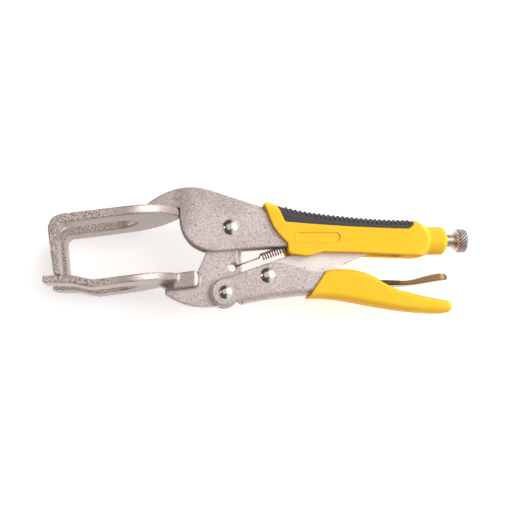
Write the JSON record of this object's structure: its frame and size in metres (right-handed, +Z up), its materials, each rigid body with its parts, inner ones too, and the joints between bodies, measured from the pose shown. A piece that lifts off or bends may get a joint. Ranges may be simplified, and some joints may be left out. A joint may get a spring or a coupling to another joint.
{
  "type": "locking pliers",
  "caption": "Locking welding pliers with wishbone jaws, over-centre link, release lever, adjusting screw and sleeved grips, closed.",
  "frame": {"origin": "on the floor under the middle of the tool's outline, with the tool lying on its side", "axes": "+X along the adjusting screw towards its knob, +Y towards the back of the upper handle, +Z up out of the tool's left side"},
  "size_m": [0.2304, 0.0707, 0.054],
  "materials": {
    "handle_steel": "satin nickel plate over pressed steel",
    "plate_steel": "satin nickel plate over blanked steel",
    "link_steel": "satin nickel plate over blanked steel",
    "fork_steel": "satin nickel plate over forged steel",
    "weld_metal": "plated weld metal",
    "barrel_steel": "plated turned steel",
    "rivet_chrome": "polished",
    "lever_nickel": "polished nickel",
    "screw_steel": "turned and knurled, nickel plated",
    "spring_steel": "drawn wire",
    "grip_yellow": "satin moulded",
    "inlay_rubber": "soft, ribbed"
  },
  "bodies": {
    "upper_frame": {"upper_handle": "handle_steel", "upper_jaw_fork": "fork_steel", "upper_fork_weld": "weld_metal", "threaded_barrel": "barrel_steel", "main_rivet": "rivet_chrome", "upper_grip": "grip_yellow", "grip_inlay": "inlay_rubber", "tension_spring": "spring_steel"},
    "lower_jaw": {"lower_jaw_plate": "plate_steel", "lower_jaw_fork": "fork_steel", "lower_fork_weld": "weld_metal", "jaw_rivet": "rivet_chrome"},
    "handle_lever": {"lower_handle": "handle_steel", "lower_grip": "grip_yellow", "link_rivet": "rivet_chrome", "lever_rivet": "rivet_chrome"},
    "toggle": {"toggle_link": "link_steel"},
    "release": {"release_lever": "lever_nickel"},
    "screw": {"adjusting_screw": "screw_steel"},
    "knob": {"screw_knob": "screw_steel"}
  },
  "joints": [
    {"name": "jaw_hinge", "type": "hinge", "parent": "upper_frame", "child": "lower_jaw", "pos_m": [-0.01935, 0.01235, 0.027], "axis": [0, 0, 1], "range_deg": [0, 25], "deforming": ["tension_spring"]},
    {"name": "handle_hinge", "type": "hinge", "parent": "lower_jaw", "child": "handle_lever", "pos_m": [-0.02255, -0.02305, 0.027], "axis": [0, 0, 1], "range_deg": [-82.24, 0]},
    {"name": "link_hinge", "type": "hinge", "parent": "handle_lever", "child": "toggle", "pos_m": [0.00055, -0.01405, 0.027], "axis": [0, 0, 1], "range_deg": [0, 79.85]},
    {"name": "lever_press", "type": "hinge", "parent": "handle_lever", "child": "release", "pos_m": [0.05365, -0.02115, 0.027], "axis": [0, 0, 1], "range_deg": [-6, 0]},
    {"name": "knob_turn", "type": "hinge", "parent": "screw", "child": "knob", "pos_m": [0.10985, 0.00575, 0.027], "axis": [1, 0, 0], "range_deg": [0, 3600]},
    {"name": "screw_travel", "type": "slide", "parent": "upper_frame", "child": "screw", "axis": [1, 0, 0], "range_m": [0, 0.01251]}
  ],
  "couplings": [
    {"joint": "handle_hinge", "follows": "jaw_hinge", "ratio": -3.289},
    {"joint": "link_hinge", "follows": "jaw_hinge", "ratio": 3.1935},
    {"joint": "screw_travel", "follows": "knob_turn", "m_per_rad": 0.00019894}
  ]
}
